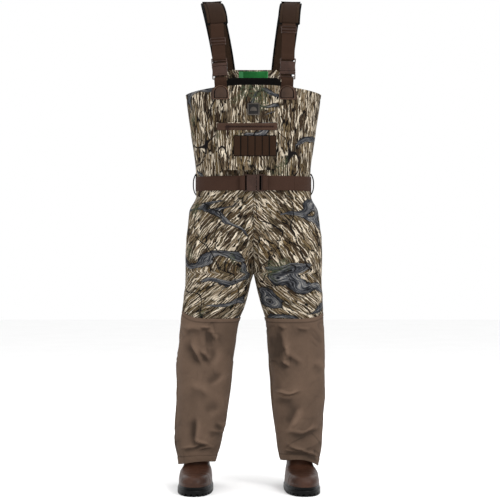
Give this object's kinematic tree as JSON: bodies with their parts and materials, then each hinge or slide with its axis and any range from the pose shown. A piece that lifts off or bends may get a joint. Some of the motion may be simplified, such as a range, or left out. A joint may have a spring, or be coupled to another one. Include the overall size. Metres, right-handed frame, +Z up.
{
  "type": "chest waders",
  "caption": "Bib-front chest waders with camouflage shell, heavy shin overlays, rubber boots, webbing belt and padded straps with side-release buckles.",
  "frame": {"origin": "midway between the undersides of the two shoulder pads at their highest point", "axes": "+Z up, -Y out of the front, +X to the wearer's left"},
  "size_m": [0.5192, 0.3412, 1.6931],
  "materials": {
    "camo_cloth": "printed, matt",
    "overlay_cloth": "heavy woven, matt",
    "webbing": "woven",
    "buckle_plastic": "moulded, fine texture",
    "padding": "brushed",
    "lining": "knit",
    "boot_rubber": "satin",
    "tread_rubber": "matt",
    "elastic": "knit elastic",
    "badge_rubber": "satin",
    "label_cloth": "woven",
    "zip_nylon": "moulded"
  },
  "bodies": {
    "torso": {"hip_panel_left": "camo_cloth", "strap_anchor_left": "padding", "strap_tab_left": "webbing", "strap_free_run_left": "webbing", "strap_plug_left": "buckle_plastic", "strap_webbing_left": "webbing", "shoulder_pad_left": "padding", "belt_loop_left": "lining", "hip_panel_right": "camo_cloth", "strap_anchor_right": "padding", "strap_tab_right": "webbing", "strap_free_run_right": "webbing", "strap_socket_right": "buckle_plastic", "strap_webbing_right": "webbing", "shoulder_pad_right": "padding", "belt_loop_right": "lining", "bib_front_panel": "camo_cloth", "bib_back_panel": "camo_cloth", "bib_lining": "lining", "size_label": "label_cloth", "handwarmer_pocket": "camo_cloth", "pocket_zip_tape": "webbing", "pocket_zip_coil": "zip_nylon", "pocket_flap": "camo_cloth", "shell_holder": "elastic", "chest_badge": "badge_rubber", "belt_free_run": "webbing", "belt_webbing": "webbing", "belt_socket": "buckle_plastic", "belt_loop_back": "lining"},
    "thigh_left": {"thigh_panel_left": "camo_cloth"},
    "shin_left": {"shin_overlay_left": "overlay_cloth", "knee_pad_left": "padding"},
    "boot_left": {"boot_upper_left": "boot_rubber", "boot_outsole_left": "tread_rubber", "boot_insole_left": "lining", "boot_liner_left": "lining"},
    "strap_slider_left": {"strap_slider_left": "buckle_plastic"},
    "strap_arm_a_left": {"strap_plug_arm_a_left": "buckle_plastic"},
    "strap_arm_b_left": {"strap_plug_arm_b_left": "buckle_plastic"},
    "thigh_right": {"thigh_panel_right": "camo_cloth"},
    "shin_right": {"shin_overlay_right": "overlay_cloth", "knee_pad_right": "padding"},
    "boot_right": {"boot_upper_right": "boot_rubber", "boot_outsole_right": "tread_rubber", "boot_insole_right": "lining", "boot_liner_right": "lining"},
    "strap_slider_right": {"strap_slider_right": "buckle_plastic"},
    "strap_arm_a_right": {"strap_plug_arm_a_right": "buckle_plastic"},
    "strap_arm_b_right": {"strap_plug_arm_b_right": "buckle_plastic"},
    "strap_plug_right": {"strap_plug_right": "buckle_plastic"},
    "strap_socket_left": {"strap_socket_left": "buckle_plastic"},
    "belt_plug": {"belt_plug": "buckle_plastic"},
    "belt_arm_lower": {"belt_plug_arm_lower": "buckle_plastic"},
    "belt_arm_upper": {"belt_plug_arm_upper": "buckle_plastic"},
    "zip_slider": {"zip_slider": "zip_nylon"},
    "zip_pull": {"zip_pull": "webbing"}
  },
  "joints": [
    {"name": "hip_left", "type": "hinge", "parent": "torso", "child": "thigh_left", "pos_m": [0.1625, 0, -0.8317], "axis": [-1, 0, 0], "range_deg": [-12, 35]},
    {"name": "knee_left", "type": "hinge", "parent": "thigh_left", "child": "shin_left", "pos_m": [0.1625, 0, -1.1817], "axis": [1, 0, 0], "range_deg": [0, 50]},
    {"name": "ankle_left", "type": "hinge", "parent": "shin_left", "child": "boot_left", "pos_m": [0.1625, 0.03, -1.5717], "axis": [-1, 0, 0], "range_deg": [-10, 6]},
    {"name": "hip_right", "type": "hinge", "parent": "torso", "child": "thigh_right", "pos_m": [-0.1985, 0, -0.8317], "axis": [-1, 0, 0], "range_deg": [-12, 35]},
    {"name": "knee_right", "type": "hinge", "parent": "thigh_right", "child": "shin_right", "pos_m": [-0.1985, 0, -1.1817], "axis": [1, 0, 0], "range_deg": [0, 50]},
    {"name": "ankle_right", "type": "hinge", "parent": "shin_right", "child": "boot_right", "pos_m": [-0.1985, 0.03, -1.5717], "axis": [-1, 0, 0], "range_deg": [-10, 6]},
    {"name": "strap_release_left", "type": "slide", "parent": "torso", "child": "strap_socket_left", "axis": [0.0292, 0.1045, 0.9941], "range_m": [0, 0.034], "deforming": ["strap_free_run_left"]},
    {"name": "strap_squeeze_a_left", "type": "hinge", "parent": "torso", "child": "strap_arm_a_left", "pos_m": [0.09599, -0.12539, -0.24299], "axis": [0, 0.9945, -0.1045], "range_deg": [0, 6], "stiffness_Nm_per_rad": 1},
    {"name": "strap_squeeze_b_left", "type": "hinge", "parent": "torso", "child": "strap_arm_b_left", "pos_m": [0.13678, -0.12551, -0.24417], "axis": [0, -0.9945, 0.1045], "range_deg": [0, 6], "stiffness_Nm_per_rad": 1},
    {"name": "strap_adjust_left", "type": "slide", "parent": "torso", "child": "strap_slider_left", "axis": [0.0292, 0.1045, 0.9941], "range_m": [-0.04, 0.004]},
    {"name": "strap_release_right", "type": "slide", "parent": "torso", "child": "strap_plug_right", "axis": [-0.062, 0.1043, 0.9926], "range_m": [0, 0.034], "deforming": ["strap_free_run_right"]},
    {"name": "strap_squeeze_a_right", "type": "hinge", "parent": "strap_plug_right", "child": "strap_arm_a_right", "pos_m": [-0.09564, -0.12353, -0.22532], "axis": [0, 0.9945, -0.1045], "range_deg": [0, 6], "stiffness_Nm_per_rad": 1},
    {"name": "strap_squeeze_b_right", "type": "hinge", "parent": "strap_plug_right", "child": "strap_arm_b_right", "pos_m": [-0.13637, -0.12379, -0.22784], "axis": [0, -0.9945, 0.1045], "range_deg": [0, 6], "stiffness_Nm_per_rad": 1},
    {"name": "strap_adjust_right", "type": "slide", "parent": "torso", "child": "strap_slider_right", "axis": [-0.062, 0.1043, 0.9926], "range_m": [-0.01, 0.044]},
    {"name": "belt_release", "type": "slide", "parent": "torso", "child": "belt_plug", "axis": [1, 0, 0], "range_m": [0, 0.034], "deforming": ["belt_free_run"]},
    {"name": "belt_squeeze_lower", "type": "hinge", "parent": "belt_plug", "child": "belt_arm_lower", "pos_m": [0.0096, -0.125, -0.6476], "axis": [0, 1, 0], "range_deg": [0, 6], "stiffness_Nm_per_rad": 1},
    {"name": "belt_squeeze_upper", "type": "hinge", "parent": "belt_plug", "child": "belt_arm_upper", "pos_m": [0.0096, -0.125, -0.6018], "axis": [0, -1, 0], "range_deg": [0, 6], "stiffness_Nm_per_rad": 1},
    {"name": "zip_travel", "type": "slide", "parent": "torso", "child": "zip_slider", "axis": [1, 0, 0], "range_m": [0, 0.15]},
    {"name": "zip_pull_swing", "type": "hinge", "parent": "zip_slider", "child": "zip_pull", "pos_m": [-0.0885, -0.1458, -0.4307], "axis": [-1, 0, 0], "range_deg": [0, 100]}
  ],
  "couplings": [
    {"joint": "belt_squeeze_upper", "follows": "belt_squeeze_lower", "ratio": 1},
    {"joint": "strap_squeeze_b_left", "follows": "strap_squeeze_a_left", "ratio": 1},
    {"joint": "strap_squeeze_b_right", "follows": "strap_squeeze_a_right", "ratio": 1}
  ]
}
